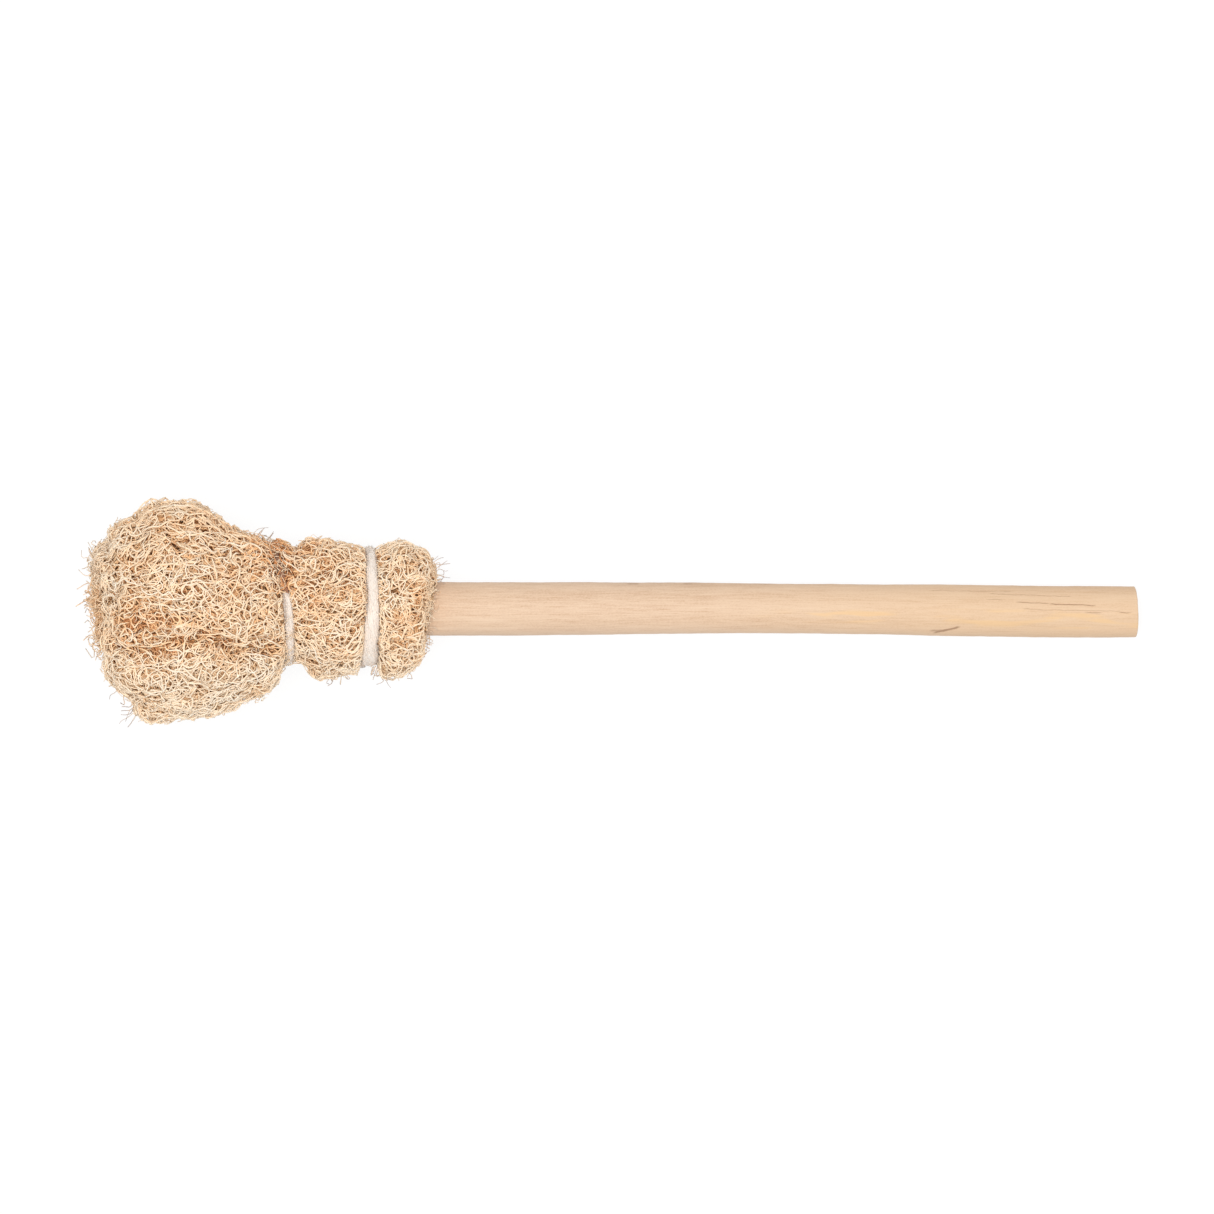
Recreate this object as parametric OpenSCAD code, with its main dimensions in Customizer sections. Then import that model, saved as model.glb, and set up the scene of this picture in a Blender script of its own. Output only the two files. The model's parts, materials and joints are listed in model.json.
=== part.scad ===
// A loofah cleaning brush. A sheet of dried loofah is rolled round one end of a wooden
// handle and bound with two cotton ties. Past the neck tie the roll opens into the head.
// The brush lies on the surface z = 0, on the underside of its head and on its butt, with
// the head towards -X and the origin under the middle of its length. Millimetres.

/* [Handle] */
// Whole length of the brush, from the front of the head to the butt
brush_len = 160; // [140:1:200]
// Diameter of the handle where the loofah grips it
grip_d = 8.1; // [7:0.1:9]
// Diameter at the thinnest place of the handle
waist_d = 7.5; // [6.6:0.1:7.8]
// Diameter of the straight stretch at the butt
butt_d = 7.8; // [7:0.1:9]
// Length of the straight stretch at the butt
butt_len = 22; // [10:1:40]
// Width of the eased edge round the butt
butt_edge = 0.3; // [0.1:0.1:1]
// How far the handle reaches into the head, past the neck tie
handle_reach = 14; // [6:0.5:18]

/* [Loofah roll] */
// Length of the head, from its front to the neck tie
head_len = 31; // [28:0.2:36]
// Diameter of the head at its widest
head_d = 33.6; // [30:0.2:38]
// Distance of the widest place from the front
head_wide_at = 13.4; // [11:0.2:16]
// Height of the head as a share of its width
head_flatness = 0.95; // [0.9:0.01:1]
// Diameter of the collar between the two ties
collar_d = 20.8; // [19.6:0.2:22]
// Diameter of the flare behind the collar tie
flare_d = 21.2; // [19.6:0.2:22]
// Length of the flare, from the collar tie to the end of the roll
flare_len = 10; // [8:0.2:13]
// Lean of the end of the roll from square to the handle, in degrees
end_lean = 7; // [0:1:12]
// Depth of the deepest fold in the head
fold_depth = 2.7; // [1.5:0.1:3.2]
// Thickness of one turn of the roll where it opens at the front
turn_t = 4.4; // [3.8:0.1:5.2]
// Depth of the gap between two turns at the front
turn_gap = 2; // [0.8:0.1:2.4]
// Step at the free edge of the rolled sheet
edge_step = 1.1; // [0.5:0.1:1.4]
// Depth of the openings in the mesh of the loofah
mesh_depth = 0.5; // [0.2:0.05:0.6]
// Gap between the handle and the loofah round it
grip_gap = 0.1; // [0.05:0.05:0.3]
// How far the surface presses in the soft underside of the head
head_press = 0.8; // [0.4:0.1:1.4]

/* [Ties] */
// Distance between the neck tie and the collar tie
tie_spacing = 13.2; // [11:0.2:16]
// Diameter of the roll under the neck tie
neck_bind_d = 17.2; // [16:0.2:18]
// Diameter of the roll under the collar tie
collar_bind_d = 16.9; // [16:0.1:18]
// Width of the neck tie
neck_tie_w = 1.3; // [1.2:0.1:1.8]
// Width of the collar tie
collar_tie_w = 1.9; // [1.5:0.1:2.4]
// Thickness of both ties
tie_t = 1; // [0.7:0.1:1.2]
// Gap between a tie and the loofah under it
tie_gap = 0.12; // [0.05:0.01:0.2]
// Lean of the neck tie from square to the handle, in degrees
neck_lean = 8; // [0:1:10]
// Length of the cut ends of each tie
tail_len = 4.5; // [3:0.5:6]

/* [Hidden] */

$fn = 64;

// Stations along the handle's axis, from the front of the head
neck_at = head_len;
collar_at = neck_at + tie_spacing;
roll_end = collar_at + flare_len;
handle_start = neck_at - handle_reach;

// The height of the handle's axis where the head rests, and the lean that puts both the
// head and the butt on the surface
rest_h = head_d / 2 * head_flatness - head_press;
butt_r = butt_d / 2;
lever = brush_len - butt_edge - head_wide_at;
tilt = asin(rest_h / sqrt(lever * lever + butt_r * butt_r)) - atan2(butt_r, lever);
front_h = rest_h + head_wide_at * sin(tilt);

// Angles round the roll run from the +Y side, over the top at 90, to the -Y side at 180.
// Places along the roll are shares of the head's length. Each fold is its angles at the
// front, at fold_turn and at the neck, where it begins and ends, its depth as a share of
// fold_depth, and its half width in degrees.
fold_turn = 0.58;
FOLDS = [
    [100, 97, 100, 0.10, 0.60, 0.75, 5.5],
    [127, 108, 131, 0.08, 1.00, 1.00, 6.5],
    [38, 44, 50, 0.15, 0.80, 0.32, 7.0],
    [196, 204, 200, 0.05, 0.90, 0.60, 6.0],
    [262, 256, 250, 0.02, 0.95, 0.55, 7.0],
    [318, 312, 322, 0.05, 1.00, 0.85, 6.5]
];
// Each swelling or hollow is its place, its angle, its half length in millimetres, its half
// width in degrees and its height in millimetres.
SWELLINGS = [
    [0.06, 186, 2.8, 46, -2.9],
    [0.24, 180, 4.2, 36, 1.4],
    [0.16, 12, 4.5, 40, -1.6],
    [0.45, 14, 3.6, 26, 0.5],
    [0.62, 165, 5.0, 36, 0.6],
    [0.81, 176, 2.6, 38, 1.6],
    [0.98, 188, 1.6, 40, -1.2],
    [0.90, 52, 2.8, 30, 0.9],
    [0.70, 18, 3.4, 30, -0.9],
    [0.86, 290, 3.0, 40, 1.0],
    [0.45, 230, 6.0, 26, 0.5],
    [1.08, 185, 1.5, 42, -1.2],
    [1.07, 48, 1.4, 32, -0.9],
    [1.66, 190, 2.2, 46, -1.8]
];
// Angles of the sheet's free edge and of the knots, on the hidden side
edge_angle = 228;
knot_angle = 232;
// Bare stretch beside each tie, and the stretch over which the relief then grows
seat_margin = 0.3;
seat_fade = 1.4;

// Rows of points along the roll, and columns round it
COLUMNS = 88;
COLUMN_ANGLES = [for (j = [0 : COLUMNS - 1]) 360 * j / COLUMNS];
FRONT_ROWS = 18;
SIDE_ROWS = 15;
COLLAR_ROWS = 10;
RISE_ROWS = 4;
END_ROWS = 8;

function ease(t) = let (c = max(0, min(1, t))) c * c * (3 - 2 * c);
function bell(t) = exp(-t * t);
function mix(a, b, t) = a + (b - a) * t;
function angle_from(a, b) = (a - b + 540) % 360 - 180;

// The outline of the roll as [station, radius], from the front of the head to the mouth of
// the hole for the handle. Each stretch leaves out its first point, which ends the last one.
function front_outline() = [
    for (k = [1 : FRONT_ROWS])
        let (a = 90 * k / FRONT_ROWS, bluntness = 0.87)
        [head_wide_at * (1 - pow(cos(a), bluntness)), head_d / 2 * pow(sin(a), bluntness)]
];
function side_outline() = [
    for (k = [1 : SIDE_ROWS])
        let (t = k / SIDE_ROWS, fullness = pow(1 - pow(t, 1.5), 0.7))
        [
            mix(head_wide_at, neck_at - neck_tie_w / 2, t),
            mix(neck_bind_d, head_d, fullness) / 2
        ]
];
function collar_outline() = [
    for (k = [0 : COLLAR_ROWS])
        let (t = k / COLLAR_ROWS, bound = mix(neck_bind_d, collar_bind_d, t))
        [
            mix(neck_at + neck_tie_w / 2, collar_at - collar_tie_w / 2, t),
            mix(bound, collar_d, pow(sin(180 * t), 0.5)) / 2
        ]
];
flare_at = collar_at + flare_len * 0.42;
function flare_outline() = [
    for (k = [0 : RISE_ROWS])
        let (t = k / RISE_ROWS)
        [
            mix(collar_at + collar_tie_w / 2, flare_at, t),
            mix(collar_bind_d, flare_d, pow(sin(90 * t), 0.6)) / 2
        ]
];
hole_r = grip_d / 2 + grip_gap;
function end_outline() = [
    for (k = [1 : END_ROWS])
        let (a = 90 * k / END_ROWS)
        [mix(flare_at, roll_end, pow(sin(a), 0.9)), mix(hole_r, flare_d / 2, pow(cos(a), 0.8))]
];
OUTLINE = concat(
    front_outline(), side_outline(), collar_outline(), flare_outline(), end_outline()
);
ROWS = len(OUTLINE);

// Outward direction of the outline at each row
function outward(k) =
    let (
        a = OUTLINE[max(0, k - 1)],
        b = OUTLINE[min(ROWS - 1, k + 1)],
        n = [a[1] - b[1], b[0] - a[0]]
    ) n / norm(n);

// How free the surface is: 0 under a tie and at the hole, 1 well away from them
function clear_of(x, tie_at, tie_w) = ease((abs(x - tie_at) - tie_w / 2 - seat_margin) / seat_fade);
function freedom(x, r) =
    clear_of(x, neck_at, neck_tie_w)
    * clear_of(x, collar_at, collar_tie_w)
    * ease((r - hole_r) / 3);

// Each part of the relief, in millimetres along the outward direction
function fold_angle(f, place) =
    place < fold_turn
        ? mix(f[0], f[1], place / fold_turn)
        : mix(f[1], f[2], (place - fold_turn) / (1 - fold_turn));
function fold_relief(x, a) = -fold_depth * max([
    for (f = FOLDS)
        let (
            place = x / head_len,
            along = ease((place - f[3]) / 0.12) * ease((f[4] - place) / 0.12)
        )
        f[5] * along * bell(angle_from(a, fold_angle(f, place)) / f[6])
]);
function sum(list) = list * [for (item = list) 1];
function swelling(x, a) = sum([
    for (s = SWELLINGS)
        s[4] * bell((x - s[0] * head_len) / s[2]) * bell(angle_from(a, s[1]) / s[3])
]);
// Gaps between the turns of the roll, on the front and on the end by the handle
function turns_relief(r, a, pitch, depth) =
    let (turn = (r / pitch - a / 360 + 10) % 1)
    -depth * bell((turn - 0.5) / 0.22);
// The sheet is one turn thicker just before its free edge than just after it
function edge_relief(a) = edge_step * (((a - edge_angle + 720) % 360) / 360 - 0.5);
// Openings of the mesh, scattered over the surface and each of its own depth
OPENINGS = rands(0, 1, ROWS * COLUMNS, 11);
opening_share = 0.36;
function mesh_relief(k, j) =
    let (chance = OPENINGS[k * COLUMNS + j])
    mesh_depth * (chance < opening_share ? -0.7 - chance / opening_share : chance - 0.4);

function relief(k, j) =
    let (
        x = OUTLINE[k][0],
        r = OUTLINE[k][1],
        a = COLUMN_ANGLES[j],
        on_head = ease((neck_at - x) / 2) * ease(r / 9),
        on_front = ease(1.4 * (head_wide_at - x) / head_wide_at) * ease((r - 1) / 2),
        on_end = ease((x - flare_at) / 2.5)
    )
    freedom(x, r) * ease(r / 5) * (
        fold_relief(x, a) * on_head
        + swelling(x, a)
        + edge_relief(a)
        + turns_relief(r, a, turn_t, turn_gap) * on_front
        + turns_relief(r, a, turn_t / 2, turn_gap / 2) * on_end
        + mesh_relief(k, j)
    );

// Shifts each point a little along the roll and round it, so that the mesh is uneven
SHIFTS = rands(-1, 1, 2 * ROWS * COLUMNS, 7);
shift_along = 0.22;
shift_round = 0.28;

// A point of the roll before it is laid down: the handle's axis is the X axis. Near the neck
// tie the roll leans with the tie, and the end by the handle has a lean of its own.
function roll_point(k, j) =
    let (
        i = 2 * (k * COLUMNS + j),
        row = OUTLINE[k],
        free = freedom(row[0], row[1]),
        away = outward(k) * relief(k, j),
        a = 360 / COLUMNS * (j + shift_round * free * SHIFTS[i]),
        x = max(0, row[0] + away[0] + shift_along * free * SHIFTS[i + 1]),
        r = max(0.3, row[1] + away[1]),
        flat = mix(head_flatness, 1, ease((x - neck_at + 8) / 6)),
        y = r * cos(a),
        lean = neck_lean * bell((x - neck_at) / 5),
        end_shift = y * tan(end_lean) * ease((x - flare_at) / (roll_end - flare_at))
    )
    [
        neck_at + (x - neck_at) * cos(lean) - y * sin(lean) + end_shift,
        (x - neck_at) * sin(lean) + y * cos(lean),
        r * sin(a) * flat
    ];

// Lays a point down: leans the brush, lifts it on to the surface and centres it. The soft
// underside of the head is pressed flat where it rests.
function laid(p) = [
    p[0] * cos(tilt) + p[2] * sin(tilt) - brush_len / 2,
    p[1],
    max(0, p[2] * cos(tilt) - p[0] * sin(tilt) + front_h)
];

// The same for a piece
module lay_down() {
    translate([-brush_len / 2, 0, front_h])
        rotate([0, tilt, 0])
            children();
}

// Turned wooden handle: straight in the loofah, waisted, and straight again at the butt
module handle() {
    waist_from = roll_end;
    waist_to = brush_len - butt_len;
    steps = 12;
    function handle_r(t) =
        let (bare = mix(grip_d, butt_d, t), dip = mix(grip_d, butt_d, 0.6) - waist_d)
        (bare - dip * pow(sin(180 * pow(t, 1.6)), 2)) / 2;
    outline = concat(
        [[0, handle_start], [grip_d / 2 - butt_edge, handle_start]],
        [[grip_d / 2, handle_start + butt_edge]],
        [for (k = [0 : steps]) [handle_r(k / steps), mix(waist_from, waist_to, k / steps)]],
        [[butt_r, brush_len - butt_edge], [butt_r - butt_edge, brush_len], [0, brush_len]]
    );
    color([0.93, 0.80, 0.68])
        lay_down()
            rotate([0, 90, 0])
                rotate_extrude()
                    polygon(outline);
}

// Rolled loofah: one closed surface from the front of the head to the floor of the hole
module loofah() {
    skin = [for (k = [0 : ROWS - 1], j = [0 : COLUMNS - 1]) laid(roll_point(k, j))];
    hole_floor = handle_start - grip_gap;
    hole = [for (a = COLUMN_ANGLES) laid([hole_floor, hole_r * cos(a), hole_r * sin(a)])];
    front = (ROWS + 1) * COLUMNS;
    floor_middle = front + 1;
    function at(k, j) = k * COLUMNS + j % COLUMNS;
    // Each patch between two rows and two columns is split along one of its diagonals in turn
    function patch(a, b, c, d, even) = even ? [[a, b, c], [a, c, d]] : [[a, b, d], [d, b, c]];
    walls = [
        for (k = [0 : ROWS - 1], j = [0 : COLUMNS - 1])
            each patch(at(k, j), at(k + 1, j), at(k + 1, j + 1), at(k, j + 1), (k + j) % 2 == 0)
    ];
    nose = [for (j = [0 : COLUMNS - 1]) [front, at(0, j), at(0, j + 1)]];
    base = [for (j = [0 : COLUMNS - 1]) [floor_middle, at(ROWS, j + 1), at(ROWS, j)]];
    color([0.89, 0.73, 0.55])
        polyhedron(
            points = concat(skin, hole, [laid([0, 0, 0]), laid([hole_floor, 0, 0])]),
            faces = concat(nose, walls, base)
        );
}

// Cotton tie round the axis, with its knot and two cut ends on the hidden side
module tie(bind_d, width, knot_at) {
    inner_r = bind_d / 2 + tie_gap;
    middle_r = inner_r + tie_t / 2;
    knot_r = inner_r + tie_t;
    cord_r = tie_t / 2;
    side = (width - tie_t) / 2;
    rotate([0, 90, 0]) {
        rotate_extrude() {
            translate([middle_r, -side])
                circle(cord_r);
            translate([middle_r, side])
                circle(cord_r);
            translate([inner_r, -side])
                square([tie_t, 2 * side]);
        }
    }
    rotate([knot_at, 0, 0])
        translate([0, knot_r, 0]) {
            // Crossed loops of the knot
            for (turn = [50, 130])
                hull()
                    for (end = [-1, 1])
                        rotate([0, turn, 0])
                            translate([end * 0.55, 0, 0])
                                sphere(cord_r * 0.9, $fn = 20);
            // Cut ends
            for (end = [-1, 1])
                hull() {
                    translate([end * 0.3, 0.1, end * 0.4])
                        sphere(cord_r * 0.7, $fn = 16);
                    translate([end * 0.9, 0.3, end * tail_len])
                        sphere(cord_r * 0.5, $fn = 16);
                }
        }
}

module neck_tie() {
    color([0.95, 0.90, 0.85])
        lay_down()
            translate([neck_at, 0, 0])
                rotate([0, 0, neck_lean])
                    tie(neck_bind_d, neck_tie_w, knot_angle);
}

module collar_tie() {
    color([0.97, 0.93, 0.89])
        lay_down()
            translate([collar_at, 0, 0])
                tie(collar_bind_d, collar_tie_w, knot_angle);
}

handle();
loofah();
neck_tie();
collar_tie();
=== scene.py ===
"""A loofah cleaning brush that lies on a pale surface, seen from straight above.

Lengths are in millimetres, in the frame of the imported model, until a mesh is made of them.
A place on the brush is its station, which is the distance along the handle's axis from the
front of the head, and its sideways and upward distances from that axis. Angles round the
axis run from the +Y side, over the top, as they do in the part's source.
"""

import json
import math

import bpy
import numpy as np
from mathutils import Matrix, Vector
from mathutils.bvhtree import BVHTree
from mathutils.kdtree import KDTree


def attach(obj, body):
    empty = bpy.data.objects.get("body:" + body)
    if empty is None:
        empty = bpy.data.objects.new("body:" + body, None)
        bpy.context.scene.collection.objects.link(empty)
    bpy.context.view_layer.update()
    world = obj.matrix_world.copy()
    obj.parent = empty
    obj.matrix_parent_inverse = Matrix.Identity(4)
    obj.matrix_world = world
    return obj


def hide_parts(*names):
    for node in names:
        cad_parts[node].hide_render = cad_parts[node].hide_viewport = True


MM = 0.001
TURN = 2 * math.pi
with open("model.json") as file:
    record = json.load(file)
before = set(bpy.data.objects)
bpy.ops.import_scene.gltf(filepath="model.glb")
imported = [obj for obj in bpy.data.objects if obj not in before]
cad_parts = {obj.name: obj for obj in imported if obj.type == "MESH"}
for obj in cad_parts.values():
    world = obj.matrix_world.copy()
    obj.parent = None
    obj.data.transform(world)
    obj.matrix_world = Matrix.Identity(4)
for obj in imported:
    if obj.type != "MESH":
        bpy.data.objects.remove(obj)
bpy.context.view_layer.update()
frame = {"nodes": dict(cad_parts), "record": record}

# Sizes of the solids
NECK_AT = 31.0
COLLAR_AT = 44.2
FLARE_AT = 48.4
ROLL_END = 54.2
BRUSH_LEN = 160.0
HANDLE_START = 17.0
GRIP_R = 4.05
HOLE_R = 4.15
HEAD_WIDE_AT = 13.4
TIE_T = 1.0
TIE_GAP = 0.12
KNOT_ANGLE = math.radians(232)
TAIL_LEN = 4.5
MOUNT_STATION = 149.0

# The ties: station, sideways place, lean and bow of the ring, radius of the roll under it,
# width of the roving, and the share by which it is narrower on the +Y side
NECK_TIE = {"at": 29.72, "side": 0.6, "lean": math.radians(8), "bow": 0.8, "bind_r": 8.1,
            "width": 1.3, "narrow": 0.45}
COLLAR_TIE = {"at": 43.35, "side": 0.4, "lean": 0.0, "bow": 0.0, "bind_r": 7.9,
              "width": 2.35, "narrow": 0.48}

# Where the mesh of the head hides the neck tie: the middle of that arc and half of it in
# degrees, half its width along the brush, and the radius that the roll is raised to there
COVER_ANGLE = 36
COVER_ARC = 52
COVER_HALF = 2.6
COVER_R = 9.6

# The furrows of the head: angle at the front, at the turn and at the neck, then start, end
# and depth as shares. They are the folds of the solid and one short opening beside them.
FURROW_TURN = 0.58
FURROWS = (
    (100, 97, 100, 0.10, 0.60, 0.75),
    (127, 108, 131, 0.08, 1.00, 1.00),
    (38, 44, 50, 0.15, 0.80, 0.32),
    (196, 204, 200, 0.05, 0.90, 0.60),
    (262, 256, 250, 0.02, 0.95, 0.55),
    (318, 312, 322, 0.05, 1.00, 0.85),
    (79, 80, 80, 0.40, 0.60, 0.70),
)

# The sheet's free edge, and the gaps between the turns of the roll at its front and at its
# end: their angle or pitch, and their depth as a share
EDGE_ANGLE = 228
EDGE_DEPTH = 0.5
FRONT_PITCH = 4.4
FRONT_DEPTH = 0.6
END_PITCH = 2.2
END_DEPTH = 0.4

# Where the outline of the soft roll swells or draws in: station, sideways place, spread and
# push outward, in millimetres
SWELLS = (
    (2.8, 8.4, 3.0, 0.7),
    (4.8, 12.2, 2.2, 0.8),
    (8.0, 14.2, 3.0, 0.4),
    (1.2, 3.2, 1.5, -2.1),
    (0.5, -2.0, 3.6, -2.8),
    (6.2, -14.9, 2.4, -2.6),
    (7.5, -16.4, 1.6, -0.8),
    (4.0, -10.8, 2.0, 1.1),
    (14.0, -17.5, 5.0, -0.7),
    (25.5, -13.0, 3.6, -1.7),
    (31.6, -8.8, 2.4, -1.4),
    (14.0, 17.4, 4.0, -0.9),
    (23.6, 13.4, 3.6, -1.4),
    (29.0, 9.6, 1.3, 0.8),
    (32.1, 9.6, 1.3, -0.8),
    (34.6, 10.4, 1.6, 0.6),
    (38.2, 10.6, 2.2, -0.4),
    (34.8, -10.4, 1.6, 1.5),
    (38.5, -10.6, 2.6, -0.4),
    (42.0, -9.8, 4.0, -0.2),
    (45.6, -9.6, 1.3, 0.8),
    (50.5, 10.6, 2.2, -0.5),
    (50.0, -10.6, 2.8, -0.6),
)

# How far the roll's end is drawn in along the handle at its middle, how much less for each
# millimetre toward the +Y side, and the station where the drawing in starts
END_DRAW = 1.7
END_SLANT = 0.08
END_DRAW_FROM = 50.5

mount = frame["record"]["mounts"][0]
AXIS = np.array(mount["axis"]) / np.linalg.norm(mount["axis"])
SIDE = np.array([0.0, 1.0, 0.0])
UP = np.cross(AXIS, SIDE)
FRONT = np.array(mount["pos_m"]) / MM - AXIS * MOUNT_STATION
BRUSH = np.array([AXIS, SIDE, UP])


def to_brush(points):
    return (points - FRONT) @ BRUSH.T


def from_brush(places):
    return places @ BRUSH + FRONT


def points_of(mesh):
    """The points of one of the frame's meshes, in millimetres."""
    raw = np.empty(len(mesh.vertices) * 3)
    mesh.vertices.foreach_get("co", raw)
    return raw.reshape(-1, 3) / MM


def unit(vectors):
    return vectors / np.maximum(np.linalg.norm(vectors, axis=-1, keepdims=True), 1e-9)


def ease(t):
    t = np.clip(t, 0, 1)
    return t * t * (3 - 2 * t)


def bell(t):
    """1 at 0, and almost 0 from 2 on to either side."""
    return np.exp(-(t**2))


def waves(points, size, seed):
    """Smooth noise of about -1 to 1 that changes over about `size` millimetres."""
    count = 5
    rng = np.random.default_rng(seed)
    total = np.zeros(points.shape[:-1])
    for _ in range(count):
        wave = unit(rng.normal(size=3)) * TURN / (size * rng.uniform(0.7, 1.6))
        total += np.sin(points @ wave + rng.uniform(0, TURN))
    return total / math.sqrt(count)


def round_axis(place):
    """Angle in degrees and distance from the axis."""
    angle = np.degrees(np.arctan2(place[..., 2], place[..., 1])) % 360
    return angle, np.hypot(place[..., 1], place[..., 2])


def apart(a, b):
    """The angle between two directions round the axis, in degrees."""
    return np.abs((a - b + 180) % 360 - 180)


def furrow(place, width):
    """How near a place is to a furrow, a gap between turns or the sheet's free edge: 0 to 1."""
    angle, radius = round_axis(place)
    share = place[..., 0] / NECK_AT
    near = np.zeros(share.shape)
    for front, turn, neck, start, end, depth in FURROWS:
        line = np.interp(share, (0, FURROW_TURN, 1), (front, turn, neck))
        along = ease((share - start) / 0.08) * ease((end - share) / 0.08)
        gap = np.radians(apart(angle, line)) * radius
        near = np.maximum(near, depth * along * bell(gap / width))
    edge = np.radians(apart(angle, EDGE_ANGLE)) * radius
    near = np.maximum(near, EDGE_DEPTH * ease((radius - 5) / 3) * bell(edge / width))
    on_front = ease(1.4 - 1.4 * place[..., 0] / HEAD_WIDE_AT) * ease((radius - 1) / 2)
    on_end = ease((place[..., 0] - FLARE_AT) / 2.5)
    for pitch, depth in ((FRONT_PITCH, FRONT_DEPTH * on_front), (END_PITCH, END_DEPTH * on_end)):
        turn = (radius / pitch - angle / 360 + 10) % 1
        gap = np.abs(turn - 0.5) * pitch
        near = np.maximum(near, depth * bell(gap / (0.5 * width)))
    return near


def bowed(across, upward, tie):
    """How far a tie is bowed toward the handle over the top, and the other way below."""
    return tie["bow"] * upward / np.maximum(np.hypot(across, upward), 0.1)


def in_tie(place, tie):
    """Places as they are seen by a tie: distance along its own axis, and then across it."""
    c, s = math.cos(tie["lean"]), math.sin(tie["lean"])
    x, y, z = place[..., 0] - tie["at"], place[..., 1] - tie["side"], place[..., 2]
    along, across = x * c + y * s, y * c - x * s
    return np.stack([along - bowed(across, z, tie), across, z], -1)


def out_of_tie(place, tie):
    """Places on the brush of what in_tie gives."""
    c, s = math.cos(tie["lean"]), math.sin(tie["lean"])
    along, across, z = place[..., 0], place[..., 1], place[..., 2]
    along = along + bowed(across, z, tie)
    x = tie["at"] + along * c - across * s
    y = tie["side"] + along * s + across * c
    return np.stack([x, y, z], -1)


def from_tie(place, tie):
    """Distance from the middle of a tie's roving, along the tie's axis."""
    return np.abs(in_tie(place, tie)[..., 0])


def half_width(tie, angles):
    """Half the width of a tie's roving at angles in radians."""
    uneven = 1 + 0.06 * np.sin(7 * angles + 1)
    return tie["width"] / 2 * (1 - tie["narrow"] * (0.5 + 0.5 * np.cos(angles))) * uneven


def neck_cover(place):
    """How fully the mesh of the head hides the neck tie at a place's angle: 0 to 1."""
    angle, _ = round_axis(in_tie(place, NECK_TIE))
    inside = COVER_ARC - apart(angle, COVER_ANGLE)
    return ease(inside / 12 + 0.6 * waves(place, 3.0, 77))


def pale(place):
    """How much painted light pales the fibre, -1 to 1: most on the -Y side and at the front corner,
    where light is painted on, and least, as painted shade, on the +Y side about the neck."""
    # Painted light on the -Y side and the front corner, and painted shade on the +Y slope by the
    # neck
    low_side = ease((-place[..., 1] - 6) / 6)
    corner = ease((7 - place[..., 0]) / 5) * ease((place[..., 1] - 1) / 4)
    slope = bell((place[..., 0] - 29) / 9) * ease((place[..., 1] - 4) / 4)
    return np.maximum(low_side, corner) - slope


def neck_notch(place):
    """How near a place is to the notch between the head and the collar over the hidden tie."""
    return neck_cover(place) * bell(from_tie(place, NECK_TIE) / 2.1)


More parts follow.
